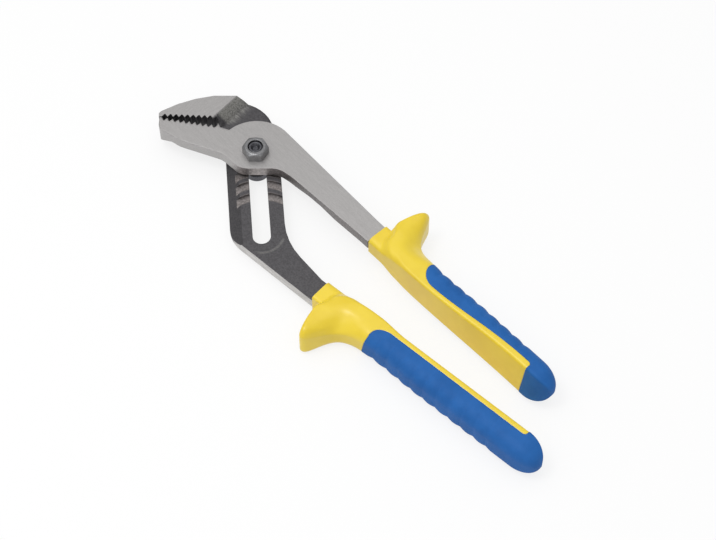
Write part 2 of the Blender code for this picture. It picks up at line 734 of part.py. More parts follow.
def make_grip(label, handle, length, low, high, parts, cutters, core_finish, cover_finish):
    """A stiff core on the tang and a soft cover that wraps its outer side and its end."""
    anchor = bpy.data.objects.new(label + "_grip_axis", None)
    parts.objects.link(anchor)
    place = handle.at(handle.grip_start, 0)
    anchor.location = (place.x, place.y, GRIP_LIFT * handle.outward)
    roll = 0 if handle.outward > 0 else math.pi
    anchor.rotation_euler = (roll, 0, math.radians(handle.angle))

    core = grip_skin(label + "_grip_core", length, 0.0, False, parts)
    heart = grip_skin(label + "_grip_heart", length, COVER_THICKNESS + PART_GAP, False, cutters, cutter=True)
    recess = cover_field(label + "_cover_recess", length, PART_GAP / 2, cutters)
    combine(recess, heart, "DIFFERENCE")
    combine(core, recess, "DIFFERENCE")
    pocket = tang_cutter(label + "_tang_pocket", handle, low, high, cutters)
    combine(core, pocket, "DIFFERENCE")

    cover = grip_skin(label + "_grip_cover", length, 0.0, True, parts)
    field = cover_field(label + "_cover_field", length, -PART_GAP / 2, cutters)
    hollow = grip_skin(label + "_cover_hollow", length, COVER_THICKNESS, False, cutters, cutter=True)
    combine(cover, field, "INTERSECT")
    combine(cover, hollow, "DIFFERENCE")

    for item in (core, heart, recess, pocket, cover, field, hollow):
        item.parent = anchor
    core.data.materials.append(core_finish)
    cover.data.materials.append(cover_finish)
    shade(core)
    shade(cover)


def lay_on_bench(group):
    for item in group.objects:
        if item.parent is None:
            item.location.z += BENCH_DROP


def main():
    clear_scene()
    parts = new_collection("water_pump_pliers")
    cutters = new_collection("cutters")
    make_front_arm(parts, cutters)
    make_rear_arm(parts, cutters)
    make_bolt(parts)
    make_nut(parts, cutters)
    yellow = material("yellow_plastic", (0.80, 0.57, 0.03), 0.35, 0.0)
    blue = material("blue_rubber", (0.03, 0.11, 0.36), 0.5, 0.0)
    swell = LAP_TOP - SHANK_SWELL
    make_grip("front", FRONT, FRONT_GRIP_LENGTH, swell, FACE, parts, cutters, yellow, blue)
    make_grip("rear", REAR, REAR_GRIP_LENGTH, -FACE, -LAP_TOP, parts, cutters, yellow, blue)
    lay_on_bench(parts)
    lay_on_bench(cutters)


main()
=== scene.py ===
"""Looks of the water pump pliers: steel finishes on the arms and finely moulded handle grips."""

import math
from collections import namedtuple

import bmesh
import bpy
from mathutils import Matrix, Vector


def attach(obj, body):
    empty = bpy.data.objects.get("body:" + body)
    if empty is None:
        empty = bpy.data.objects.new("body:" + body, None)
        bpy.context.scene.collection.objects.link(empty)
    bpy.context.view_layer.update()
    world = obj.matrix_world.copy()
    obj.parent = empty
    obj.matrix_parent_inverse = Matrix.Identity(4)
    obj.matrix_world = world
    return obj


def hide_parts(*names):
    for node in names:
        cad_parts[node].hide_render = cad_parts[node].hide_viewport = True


MM = 0.001

# Levels of the solids above the plane that the pliers lie on
BENCH_DROP = 10.2 * MM
FACE = 5.4 * MM

# Handles and grips, with the sizes of the solids
GRIP_LIFT = 1.5 * MM
GRIP_INNER = 5.3 * MM
GRIP_OUTER = 7.2 * MM
GRIP_HALF_HEIGHT = 8.7 * MM
GRIP_INNER_ROUND = 1.2 * MM
GRIP_SHOULDER_ROUND = 3.2 * MM
GRIP_OUTER_ROUND = 6.0 * MM
GRIP_END_ROUND = 11.5 * MM
COLLAR_LENGTH = 4.2 * MM
COLLAR_HALF_WIDTH = 6.0 * MM
COLLAR_HALF_HEIGHT = 5.5 * MM
COLLAR_ROUND = 1.8 * MM

# Lean of the outer side and tilt of the inner flank along a grip
GRIP_LEAN = 1.1 * MM
LEAN_START = 30.0 * MM
LEAN_END = 65.0 * MM
TILT_START = 30.0 * MM
TILT_END = 90.0 * MM
TILT_INSIDE = -2.0 * MM
TILT_OUTSIDE = 4.5 * MM

# Thumb guard, with a scoop behind it on the top
WING_FRONT = 4.4 * MM
WING_HEIGHT = 16.9 * MM
WING_TAPER = 2.5
WING_ROUND = 2.4 * MM
WING_DIP = 0.06
SCOOP = 0.62
SCOOP_LEAD = 1.2 * MM
SCOOP_LENGTH = 11.0 * MM
TIP_ROUND = 5.0 * MM
TIP_DROP = 0.3

# Raised pad behind the collar, whose rim sweeps back towards the inner flank
PAD_RISE = 4.0 * MM
PAD_SPREAD = 7.0 * MM
PAD_SWEEP = 11.0 * MM
PAD_SWEEP_POWER = 2.6
PAD_SWEEP_START = 4.0 * MM
PAD_SWEEP_RUN = 10.0 * MM
RIM_BEND = (0.4 * GRIP_OUTER, 1.7 * GRIP_OUTER)
CROWN = 0.05
CROWN_LENGTH = 6.0 * MM

# Soft cover, with its seams and ribs
COVER_CORNER = 8.5 * MM
COVER_CORNER_WIDTH = 8.0 * MM
COVER_PROUD = 0.12 * MM
SLANT_IN = (22.0 * MM, 30.0 * MM)
SLANT_OUT = (36.0 * MM, 48.0 * MM)
SEAM_SINK = 0.16 * MM
SEAM_REACH = 0.4 * MM
SEAM_DEPTH = 0.9 * MM
STRIP_CORNER = 1.6 * MM
RIB_PITCH = 7.0 * MM
RIB_HEIGHT = 0.42 * MM
RIB_START = 6.0 * MM
RIB_END = 20.0 * MM
RIB_REACH = 4.0 * MM
RIB_SPAN = 7.5 * MM
RIB_TOP = 1.8
CAP_OPENING = 0.04 * MM

# Fineness of the moulded skins
ROUND_STEPS = 12
FLANK_STEPS = 24
INNER_STEPS = 28
OUTER_STEPS = 36
WING_STEPS = 20
WING_SPACING = 0.6 * MM
WING_ROWS = 40
CORNER_STEPS = 15
STRIP_STEPS = 9
RIB_STEPS = 12
END_STEPS = 18
FIRST_ROW = 0.3 * MM
LEAST_SPACING = 0.05 * MM
JOIN_REACH = 0.01 * MM
SHARP_ANGLE = 48.0

Grip = namedtuple(
    "Grip",
    "label length place angle outward wing_peak wing_fall pad_rim recede recede_end tilt slant cap"
    " cover_start seam seam_drift",
)
FRONT_GRIP = Grip(
    label="front",
    length=108.0 * MM,
    place=(51.404 * MM, -50.976 * MM),
    angle=-52.7,
    outward=1,
    wing_peak=7.6 * MM,
    wing_fall=5.8 * MM,
    pad_rim=8.0 * MM,
    recede=2.2 * MM,
    recede_end=90.0 * MM,
    tilt=1.4 * MM,
    slant=0.0,
    cap=13.4 * MM,
    cover_start=29.5 * MM,
    seam=-2.9 * MM,
    seam_drift=3.6 * MM,
)
REAR_GRIP = Grip(
    label="rear",
    length=125.0 * MM,
    place=(24.392 * MM, -75.993 * MM),
    angle=-46.6,
    outward=-1,
    wing_peak=9.5 * MM,
    wing_fall=6.2 * MM,
    pad_rim=9.0 * MM,
    recede=1.2 * MM,
    recede_end=46.0 * MM,
    tilt=0.0,
    slant=1.4 * MM,
    cap=11.6 * MM,
    cover_start=31.2 * MM,
    seam=-1.5 * MM,
    seam_drift=0.1 * MM,
)

# Locking grooves of the rear arm
GROOVE_FIRST = 13.9 * MM
GROOVE_RADIUS = 20.0 * MM
GROOVE_PITCH = 7.0 * MM
GROOVE_WIDTH = 4.1 * MM
GROOVE_LAST = 5
GROOVE_WEAR_SHARE = 0.85
GROOVE_BLUR_OUT = 0.15
GROOVE_BLUR_IN = 0.08
GROOVE_STOP = (-GROOVE_LAST - 0.5, -GROOVE_LAST - 0.4)
# Share of the worn colour left at each groove's upper wall, darker there as painted shade
GROOVE_UPPER_SHADE = (0.7, 1.0)

# Forging line below the end of the slot
SLOT_END = -42.0 * MM
FORGING_RADIUS = 10.2 * MM
FORGING_SHARE = 0.3
FORGING_WIDTH = (0.9 * MM, 0.2 * MM)
FORGING_BELOW = (-2.0 * MM, -5.0 * MM)
FORGING_RIGHT = (-4.0 * MM, 0.0)

# Slope behind the upper jaw's face, and below it a strip along the lower jaw's edge that stays dark
# as painted shadow, by the distance across each
JAW_GRIND_ANGLE = 45.0
SLOPE_ACROSS = (0.765, 0.644)
SLOPE_TOP = -30.0 * MM
SLOPE_FOOT = -22.0 * MM
SLOPE_RAGGED = 7.0 * MM
THROAT_SHADOW_ACROSS = (0.459, 0.889)
THROAT_SHADOW_EDGE = 13.0 * MM
THROAT_SHADOW_FADE = 1.6 * MM

# Places on the arms where one finish goes over into another
JAW_ROOT = (-8.0 * MM, -13.0 * MM)
BOSS_END = (20.0 * MM, 4.0 * MM)
BOSS_BELOW = (4.0 * MM, 0.0)
SHANK_WEAR_SHARE = 0.45
LEG_TOP = (6.0 * MM, 4.0 * MM)
SHANK_START = (-38.0 * MM, -42.0 * MM)
NECK_START = (4.0 * MM, 8.0 * MM)
NECK_LEVEL = (4.4 * MM, 3.0 * MM)
FACE_BELOW = (FACE - 0.4 * MM, FACE - 0.15 * MM)
FACE_ABOVE = (FACE, FACE + 0.7 * MM)
FACE_RAGGED = 1.6 * MM

# Which way a surface faces, by one part of its normal
FACES_FRONT = (0.40, 0.62)
FACES_GASH = (0.15, 0.35)
FACES_NOT_BACK = (-0.6, -0.4)
FACES_UP = (0.45, 0.65)
FACES_STRAIGHT_UP = (0.93, 0.98)
FACES_INBOARD = (-0.5, -0.3)
FACES_NOT_DOWN = (-0.2, 0.0)
FACES_OUTWARD = (0.90, 0.97)
FACES_BACK = (-0.6, -0.8)

# Radii of the softened edges
EDGE_ROUND = 0.35 * MM
JAW_ROUND = 0.9 * MM
NECK_ROUND = 1.8 * MM
NUT_ROUND = 0.7 * MM
BOLT_ROUND = 0.25 * MM

# Roughness of each finish, and how far it is a metal
GROUND_ROUGHNESS = (0.36, 0.52)
OXIDE_ROUGHNESS = (0.36, 0.56)
NUT_ROUGHNESS = (0.24, 0.38)
BOLT_ROUGHNESS = (0.3, 0.45)
YELLOW_ROUGHNESS = (0.25, 0.36)
BLUE_ROUGHNESS = (0.56, 0.72)
ARM_METAL = 0.85
NUT_METAL = 0.95
BOLT_METAL = 0.9

# Middle of a noise's range, and how much of a colour a cloud adds at most
NOISE_MIDDLE = (0.3, 0.7)
GROUND_CLOUD_SHARE = 0.35
OXIDE_CLOUD_SHARE = 0.6

# Colours: the darker and the lighter end of what a noise mottles, or one that a cloud adds
GROUND_GRAIN = ((0.350, 0.340, 0.337), (0.500, 0.487, 0.481))
GROUND_LINES = ((0.375, 0.365, 0.361), (0.475, 0.463, 0.458))
GROUND_CLOUD = (0.417, 0.405, 0.399)
OXIDE_SCALE = ((0.070, 0.067, 0.071), (0.124, 0.120, 0.126))
OXIDE_CLOUD = (0.094, 0.091, 0.096)
BROWN_SIDE = ((0.26, 0.241, 0.237), (0.46, 0.428, 0.420))
SLOPE_STREAKS = ((0.19, 0.188, 0.177), (0.39, 0.384, 0.361))
GROOVE_WEAR = ((0.19, 0.171, 0.163), (0.38, 0.345, 0.334))
PALE_EDGE = ((0.46, 0.450, 0.440), (0.66, 0.645, 0.632))
NUT_PLATING = ((0.20, 0.201, 0.207), (0.30, 0.30, 0.307))
BOLT_STEEL = ((0.068, 0.069, 0.077), (0.14, 0.14, 0.154))
YELLOW_PLASTIC = ((0.785, 0.577, 0.031), (0.833, 0.630, 0.043))
BLUE_RUBBER = ((0.008, 0.100, 0.345), (0.013, 0.122, 0.405))
BLUE_SHINE = 0.3

# Floor and light
FLOOR_REACH = 6.0
FLOOR_COLOUR = (0.9, 0.9, 0.9, 1.0)
FLOOR_ROUGHNESS = 0.9
FLOOR_WHITE = 0.8
WORLD_COLOUR = (1.0, 1.0, 1.0, 1.0)
WORLD_STRENGTH = 0.56
LAMP_AIM = (0.04, -0.06, 0)
Lamp = namedtuple("Lamp", "name place size power")
LAMPS = (
    Lamp("overhead", (-0.12, -0.08, 0.85), 1.4, 4.0),
    Lamp("key", (-0.24, -0.14, 0.85), 0.3, 1.7),
)

# View of the photograph
VIEW_TARGET = (41.574 * MM, -65.203 * MM, BENCH_DROP)
VIEW_AZIMUTH = -5.0
VIEW_ELEVATION = 57.0
VIEW_DISTANCE = 0.8
VIEW_LENS = 90.5
VIEW_SENSOR = 36.0
VIEW_CLIP = 0.01


def smooth(value, low, high):
    share = min(1.0, max(0.0, (value - low) / (high - low)))
    return share * share * (3 - 2 * share)


class Finish:
    """A procedural material, built from nodes in the space of its object."""

    def __init__(self, name):
        self.material = bpy.data.materials.new(name)
        self.material.use_nodes = True
        self.tree = self.material.node_tree
        self.shader = self.tree.nodes["Principled BSDF"]
        place = self.tree.nodes.new("ShaderNodeTexCoord")
        self.place = place.outputs["Object"]
        self.x, self.y, self.z = self.split(self.place)
        self.facing_x, self.facing_y, self.facing_z = self.split(place.outputs["Normal"])

    def feed(self, socket, value):
        if isinstance(value, bpy.types.NodeSocket):
            self.tree.links.new(value, socket)
        else:
            socket.default_value = value

    def split(self, vector):
        node = self.tree.nodes.new("ShaderNodeSeparateXYZ")
        self.feed(node.inputs[0], vector)
        return node.outputs[:]

    def math(self, operation, *values):
        node = self.tree.nodes.new("ShaderNodeMath")
        node.operation = operation
        for socket, value in zip(node.inputs, values):
            self.feed(socket, value)
        return node.outputs[0]

    def both(self, first, second):
        return self.math("MULTIPLY", first, second)

    def either(self, first, second):
        return self.math("MAXIMUM", first, second)

    def along(self, first, first_share, second, second_share):
        """The sum of two values, each multiplied by its share."""
        return self.math("ADD", self.both(first, first_share), self.both(second, second_share))

    def rise(self, value, low, high):
        """Goes smoothly from 0 to 1 as the value goes from low to high."""
        node = self.tree.nodes.new("ShaderNodeMapRange")
        node.interpolation_type = "SMOOTHSTEP"
        self.feed(node.inputs["Value"], value)
        node.inputs["From Min"].default_value = low
        node.inputs["From Max"].default_value = high
        return node.outputs["Result"]

    def spread(self, value, low, high):
        """Takes a value from 0 to 1 to the range from low to high."""
        node = self.tree.nodes.new("ShaderNodeMapRange")
        self.feed(node.inputs["Value"], value)
        node.inputs["To Min"].default_value = low
        node.inputs["To Max"].default_value = high
        return node.outputs["Result"]

    def noise(self, size, detail=3.0, roughness=0.55, turn=0.0, stretch=(1, 1, 1)):
        """Noise with features of about the given size, stretched along turned axes."""
        mapping = self.tree.nodes.new("ShaderNodeMapping")
        mapping.vector_type = "TEXTURE"
        mapping.inputs["Rotation"].default_value = (0, 0, math.radians(turn))
        mapping.inputs["Scale"].default_value = stretch
        self.feed(mapping.inputs["Vector"], self.place)
        node = self.tree.nodes.new("ShaderNodeTexNoise")
        node.inputs["Scale"].default_value = 1 / size
        node.inputs["Detail"].default_value = detail
        node.inputs["Roughness"].default_value = roughness
        self.feed(node.inputs["Vector"], mapping.outputs["Vector"])
        return node.outputs["Fac"]

    def blend(self, factor, first, second):
        node = self.tree.nodes.new("ShaderNodeMix")
        node.data_type = "RGBA"
        self.feed(node.inputs["Factor"], factor)
        for socket, colour in zip((node.inputs[6], node.inputs[7]), (first, second)):
            if not isinstance(colour, bpy.types.NodeSocket):
                colour = (*colour, 1.0)
            self.feed(socket, colour)
        return node.outputs[2]

    def shades(self, factor, dark, light):
        """Blends two colours over the middle of a noise's range, where most of its values lie."""
        return self.blend(self.rise(factor, *NOISE_MIDDLE), dark, light)

    def bump(self, height, distance, strength, below=None):
        node = self.tree.nodes.new("ShaderNodeBump")
        node.inputs["Strength"].default_value = strength
        node.inputs["Distance"].default_value = distance
        self.feed(node.inputs["Height"], height)
        if below:
            self.feed(node.inputs["Normal"], below)
        return node.outputs["Normal"]

    def rounded_edges(self, radius):
        node = self.tree.nodes.new("ShaderNodeBevel")
        node.samples = 4
        self.feed(node.inputs["Radius"], radius)
        return node.outputs["Normal"]

    def paint(self, colour, roughness, metallic, normal):
        self.feed(self.shader.inputs["Base Color"], colour)
        self.feed(self.shader.inputs["Roughness"], roughness)
        self.feed(self.shader.inputs["Metallic"], metallic)
        self.feed(self.shader.inputs["Normal"], normal)
        return self.material


def ground_colour(finish, turn):
    """Satin ground steel: fine grain, faint grinding lines and a broad clouding."""
    grain = finish.noise(0.35 * MM, detail=4.0, roughness=0.6)
    lines = finish.noise(0.5 * MM, detail=3.0, roughness=0.6, turn=turn, stretch=(12, 1, 1))
    cloud = finish.noise(16 * MM, detail=2.0)
    fine = finish.shades(grain, *GROUND_GRAIN)
    lined = finish.shades(lines, *GROUND_LINES)
    worn = finish.blend(0.5, fine, lined)
    return finish.blend(finish.both(cloud, GROUND_CLOUD_SHARE), worn, GROUND_CLOUD), grain


def oxide_colour(finish):
    """Dark forged steel with a mottled scale."""
    scale = finish.noise(0.8 * MM, detail=5.0, roughness=0.6)
    cloud = finish.noise(9 * MM, detail=3.0)
    spots = finish.shades(scale, *OXIDE_SCALE)
    return finish.blend(finish.both(cloud, OXIDE_CLOUD_SHARE), spots, OXIDE_CLOUD), scale


def front_arm_finish():
    """Ground bright on the face and round the jaw, brown at the boss's side and dark behind."""
    finish = Finish("front_arm_steel")
    ground, grain = ground_colour(finish, FRONT_GRIP.angle)
    dark, scale = oxide_colour(finish)
    brown = finish.shades(finish.noise(0.9 * MM, detail=4.0), *BROWN_SIDE)

    face = finish.rise(finish.facing_z, *FACES_FRONT)
    gash = finish.rise(finish.facing_y, *FACES_GASH)
    jaw = finish.rise(finish.x, *JAW_ROOT)
    jaw_side = finish.both(jaw, finish.math("SUBTRACT", 1.0, gash))
    outside = finish.rise(finish.facing_z, *FACES_NOT_BACK)
    bright = finish.either(face, finish.both(jaw_side, outside))
    boss = finish.rise(finish.x, *BOSS_END)
    worn = finish.spread(boss, SHANK_WEAR_SHARE, 1.0)
    worn = finish.both(worn, finish.rise(finish.y, *BOSS_BELOW))
    colour = finish.blend(finish.both(worn, outside), dark, brown)
    colour = finish.blend(bright, colour, ground)
    roughness = finish.spread(grain, *GROUND_ROUGHNESS)
    edges = finish.rounded_edges(finish.spread(jaw, EDGE_ROUND, JAW_ROUND))
    below = finish.bump(scale, distance=0.08 * MM, strength=0.3, below=edges)
    normal = finish.bump(grain, distance=0.03 * MM, strength=0.45, below=below)
    return finish.paint(colour, roughness, ARM_METAL, normal)


def groove_mask(finish):
    """Lies along the curved locking grooves, where the dark skin is cut through, and thins towards
    each groove's upper wall as painted shade.
    """
    square = finish.math("MULTIPLY", finish.x, finish.x)
    sagitta = finish.math("SQRT", finish.math("SUBTRACT", GROOVE_RADIUS**2, square))
    beyond = finish.math("SUBTRACT", finish.y, sagitta)
    beyond = finish.math("SUBTRACT", beyond, GROOVE_FIRST - GROOVE_RADIUS)
    place = finish.math("DIVIDE", beyond, GROOVE_PITCH)
    off = finish.math("SUBTRACT", place, finish.math("ROUND", place))
    half = GROOVE_WIDTH / GROOVE_PITCH / 2
    apart = finish.math("ABSOLUTE", off)
    band = finish.rise(apart, half + GROOVE_BLUR_OUT, half - GROOVE_BLUR_IN)
    within = finish.rise(place, *GROOVE_STOP)
    # Thins the worn colour towards each groove's upper wall: painted shade of the scoop.
    upper_wall_shade = finish.spread(finish.rise(off, half, -half), *GROOVE_UPPER_SHADE)
    return finish.both(finish.both(band, within), upper_wall_shade)


def forging_line(finish):
    """A faint arc on the leg below the end of its slot, where the forging steps down."""
    along = finish.math("SUBTRACT", finish.y, SLOT_END)
    square = finish.math("ADD", finish.both(finish.x, finish.x), finish.both(along, along))
    off = finish.math("SUBTRACT", finish.math("SQRT", square), FORGING_RADIUS)
    arc = finish.rise(finish.math("ABSOLUTE", off), *FORGING_WIDTH)
    below = finish.rise(along, *FORGING_BELOW)
    return finish.both(finish.both(arc, below), finish.rise(finish.x, *FORGING_RIGHT))


def rear_arm_finish():
    """Dark forged steel, with a ground jaw and back, worn grooves with painted shade at their upper
    walls, a pale edge to the shank, and a strip of painted shadow in the throat along the lower
    jaw's edge.
    """
    finish = Finish("rear_arm_steel")
    ground, grain = ground_colour(finish, JAW_GRIND_ANGLE)
    dark, scale = oxide_colour(finish)
    streaks = finish.noise(
        0.6 * MM, detail=4.0, roughness=0.65, turn=REAR_GRIP.angle, stretch=(9, 1, 1)
    )
    slope = finish.shades(streaks, *SLOPE_STREAKS)
    worn = finish.shades(finish.noise(0.9 * MM, detail=4.0), *GROOVE_WEAR)

    up = finish.rise(finish.facing_z, *FACES_UP)
    flat = finish.rise(finish.facing_z, *FACES_STRAIGHT_UP)
    level = finish.math("SUBTRACT", finish.z, BENCH_DROP)
    ragged = finish.math("ADD", level, finish.both(streaks, FACE_RAGGED))
    top = finish.both(flat, finish.rise(level, *FACE_BELOW))
    jaw_face = finish.both(up, finish.either(top, finish.rise(ragged, *FACE_ABOVE)))
    across = finish.along(finish.x, SLOPE_ACROSS[0], finish.y, -SLOPE_ACROSS[1])
    across = finish.math("SUBTRACT", across, finish.both(streaks, SLOPE_RAGGED))
    # The slope's colour is held back near the lower jaw's edge, so a strip there stays dark as
    # painted shadow.
    above = finish.along(finish.x, THROAT_SHADOW_ACROSS[0], finish.y, THROAT_SHADOW_ACROSS[1])
    clear = finish.rise(above, THROAT_SHADOW_EDGE, THROAT_SHADOW_EDGE + THROAT_SHADOW_FADE)
    on_slope = finish.both(finish.both(up, clear), finish.rise(across, SLOPE_FOOT, SLOPE_TOP))
    leg = finish.rise(finish.y, *LEG_TOP)
    inboard = finish.rise(finish.facing_x, *FACES_INBOARD)
    inboard = finish.both(inboard, finish.rise(finish.facing_z, *FACES_NOT_DOWN))
    grooves = finish.both(finish.both(inboard, leg), groove_mask(finish))
    turn = math.radians(REAR_GRIP.angle - 90)
    aside = finish.along(finish.facing_x, math.cos(turn), finish.facing_y, math.sin(turn))
    shank = finish.rise(finish.y, *SHANK_START)
    edge = finish.both(shank, finish.rise(aside, *FACES_OUTWARD))
    back = finish.rise(finish.facing_z, *FACES_BACK)

    colour = finish.blend(on_slope, dark, slope)
    colour = finish.blend(finish.both(grooves, GROOVE_WEAR_SHARE), colour, worn)
    line = finish.both(forging_line(finish), flat)
    colour = finish.blend(finish.both(line, FORGING_SHARE), colour, slope)
    colour = finish.blend(finish.either(jaw_face, back), colour, ground)
    colour = finish.blend(edge, colour, finish.shades(streaks, *PALE_EDGE))
    roughness = finish.spread(scale, *OXIDE_ROUGHNESS)
    neck = finish.both(finish.rise(finish.y, *NECK_START), finish.rise(level, *NECK_LEVEL))
    edges = finish.rounded_edges(finish.spread(neck, EDGE_ROUND, NECK_ROUND))
    below = finish.bump(scale, distance=0.12 * MM, strength=0.45, below=edges)
    normal = finish.bump(grain, distance=0.03 * MM, strength=0.4, below=below)
    return finish.paint(colour, roughness, ARM_METAL, normal)


def nut_finish():
    finish = Finish("nut_plated_steel")
    grain = finish.noise(0.5 * MM, detail=4.0)
    colour = finish.shades(grain, *NUT_PLATING)
    edges = finish.rounded_edges(NUT_ROUND)
    normal = finish.bump(grain, distance=0.03 * MM, strength=0.35, below=edges)
    return finish.paint(colour, finish.spread(grain, *NUT_ROUGHNESS), NUT_METAL, normal)


def bolt_finish():
    finish = Finish("bolt_dark_steel")
    grain = finish.noise(0.6 * MM, detail=4.0)
    colour = finish.shades(grain, *BOLT_STEEL)
    edges = finish.rounded_edges(BOLT_ROUND)
    normal = finish.bump(grain, distance=0.04 * MM, strength=0.4, below=edges)
    return finish.paint(colour, finish.spread(grain, *BOLT_ROUGHNESS), BOLT_METAL, normal)


def yellow_finish():
    finish = Finish("yellow_moulded_plastic")
    grain = finish.noise(0.45 * MM, detail=3.0)
    cloud = finish.noise(14 * MM, detail=3.0)
    colour = finish.shades(cloud, *YELLOW_PLASTIC)
    normal = finish.bump(grain, distance=0.015 * MM, strength=0.4)
    return finish.paint(colour, finish.spread(grain, *YELLOW_ROUGHNESS), 0.0, normal)


def blue_finish():
    finish = Finish("blue_moulded_rubber")
    grain = finish.noise(0.35 * MM, detail=4.0)
    cloud = finish.noise(11 * MM, detail=3.0)
    colour = finish.shades(cloud, *BLUE_RUBBER)
    normal = finish.bump(grain, distance=0.025 * MM, strength=0.5)
    finish.shader.inputs["Specular IOR Level"].default_value = BLUE_SHINE
    return finish.paint(colour, finish.spread(grain, *BLUE_ROUGHNESS), 0.0, normal)


def wing_rise(x, grip):
    """How far the thumb guard stands out of the handle at a distance from the collar."""
    ahead = (grip.wing_peak - x) / WING_FRONT
    if ahead >= 1:
        return 0.0
    if ahead > 0:
        return WING_HEIGHT * math.sqrt(1 - ahead * ahead)
    return WING_HEIGHT / (1 + (-ahead * WING_FRONT / grip.wing_fall) ** WING_TAPER)


def wing_share(x, grip):
    """How much of the thumb guard there is, from none at the cover to all of it at its peak."""
    return 1 - smooth(x, grip.wing_peak + grip.wing_fall, grip.cover_start)


def rib_count(grip):
    return math.floor((grip.length - RIB_END - grip.cover_start - RIB_START) / RIB_PITCH)


def rib_rise(x, grip):
    """The scalloped outer edge: rounded ribs with sharp notches between them."""
    place = (x - grip.cover_start - RIB_START) / RIB_PITCH
    if place < -0.5 or place > rib_count(grip) + 0.5:
        return 0.0
    return -RIB_HEIGHT * (1 - abs(math.sin(math.pi * place)))


def cap_start(grip):
    return grip.length - grip.cap


def cover_edge(x, grip):
    """Where the soft cover begins on the top of a grip, measured across the handle."""
    cap = cap_start(grip)
    inside = min(max(x, grip.cover_start), cap)
    drift = smooth(inside, grip.cover_start + COVER_CORNER, cap - STRIP_CORNER)
    edge = grip.seam + grip.seam_drift * drift
    left = (COVER_CORNER - (inside - grip.cover_start)) / COVER_CORNER
    if left > 0:
        edge += COVER_CORNER_WIDTH * (1 - math.sqrt(1 - left * left))
    before = (inside - (cap - STRIP_CORNER)) / STRIP_CORNER
    if before > 0:
        edge -= STRIP_CORNER * (1 - math.sqrt(max(0.0, 1 - before * before)))
    return edge * smooth(x, grip.cover_start - COVER_CORNER, grip.cover_start)


def quarter(y, z, radius, start):
    """A quarter of a circle, turning from the start angle by ninety degrees clockwise."""
    points = []
    for i in range(ROUND_STEPS + 1):
        turn = math.radians(start - 90 * i / ROUND_STEPS)
        points.append((y + radius * math.cos(turn), z + radius * math.sin(turn)))
    return points


def run(first, last, steps):
    """Evenly spaced points from the first end up to the last, without the last."""
    return [tuple(a + (b - a) * i / steps for a, b in zip(first, last)) for i in range(steps)]


def profile(x, grip, grow, ribbed):
    """Upper half of a section, from the middle of the inner flank over the top to the outer one."""
    half = GRIP_HALF_HEIGHT + grow
    inner = GRIP_INNER - grip.recede * smooth(x, LEAN_START, grip.recede_end) + grow
    shoulder = 1 - smooth(x, 2 * COLLAR_LENGTH, TILT_START)
    near_round = GRIP_INNER_ROUND + (GRIP_SHOULDER_ROUND - GRIP_INNER_ROUND) * shoulder
    near = quarter(near_round - inner, half - near_round, near_round, 180)
    near = run((-inner, 0.0), near[0], FLANK_STEPS) + near

    rise = wing_rise(x, grip)
    lean = GRIP_LEAN * smooth(x, LEAN_START, LEAN_END) + grow
    on_pad = smooth(x, grip.wing_peak - WING_FRONT, grip.pad_rim)
    outer = COLLAR_HALF_WIDTH + (GRIP_OUTER - COLLAR_HALF_WIDTH) * on_pad + lean
    far_round = COLLAR_ROUND + (GRIP_OUTER_ROUND - COLLAR_ROUND) * on_pad
    far_round += (WING_ROUND - far_round) * rise / WING_HEIGHT
    outer += rise
    far = quarter(outer - far_round, half - far_round, far_round, 90) + [(outer, 0.0)]
    if ribbed:
        notch = rib_rise(x, grip)
        far = [
            (
                y + notch * smooth(y, outer - RIB_REACH, outer),
                z * (1 + RIB_TOP * notch / half * smooth(y, outer - RIB_SPAN, outer - RIB_REACH)),
            )
            for y, z in far
        ]
    return near + far


def between(a, b, share):
    return tuple(u + (v - u) * share for u, v in zip(a, b))


def cut(path, edge):
    """Two parts of a section, up to a place across the handle and from there on."""
    for i in range(1, len(path)):
        if path[i][0] > edge:
            (before, _), (after, _) = path[i - 1], path[i]
            seam = between(path[i - 1], path[i], (edge - before) / (after - before))
            return path[:i] + [seam], [seam] + path[i:]


def spaced(path, count):
    """The same line with evenly spaced points, and one more close to its first end."""
    marks = [0.0]
    for a, b in zip(path, path[1:]):
        marks.append(marks[-1] + math.dist(a, b))
    rest = marks[-1] - SEAM_REACH
    wanted = [SEAM_REACH + rest * i / count for i in range(count)]
    points = [path[0]]
    place = 1
    for mark in wanted:
        while marks[place] < mark:
            place += 1
        share = (mark - marks[place - 1]) / (marks[place] - marks[place - 1])
        points.append(between(path[place - 1], path[place], share))
    return points + [path[-1]]


def inner_path(x, grip, grow):
    """Upper half of a section on the inner side, from the seam to the middle of the flank."""
    near, _ = cut(profile(x, grip, grow, False), cover_edge(x, grip))
    return spaced(near[::-1], INNER_STEPS)


def outer_path(x, grip, grow, ribbed):
    """Upper half of a section on the outer side, from the seam to the middle of the far flank."""
    _, far = cut(profile(x, grip, grow, ribbed), cover_edge(x, grip))
    return spaced(far, OUTER_STEPS)


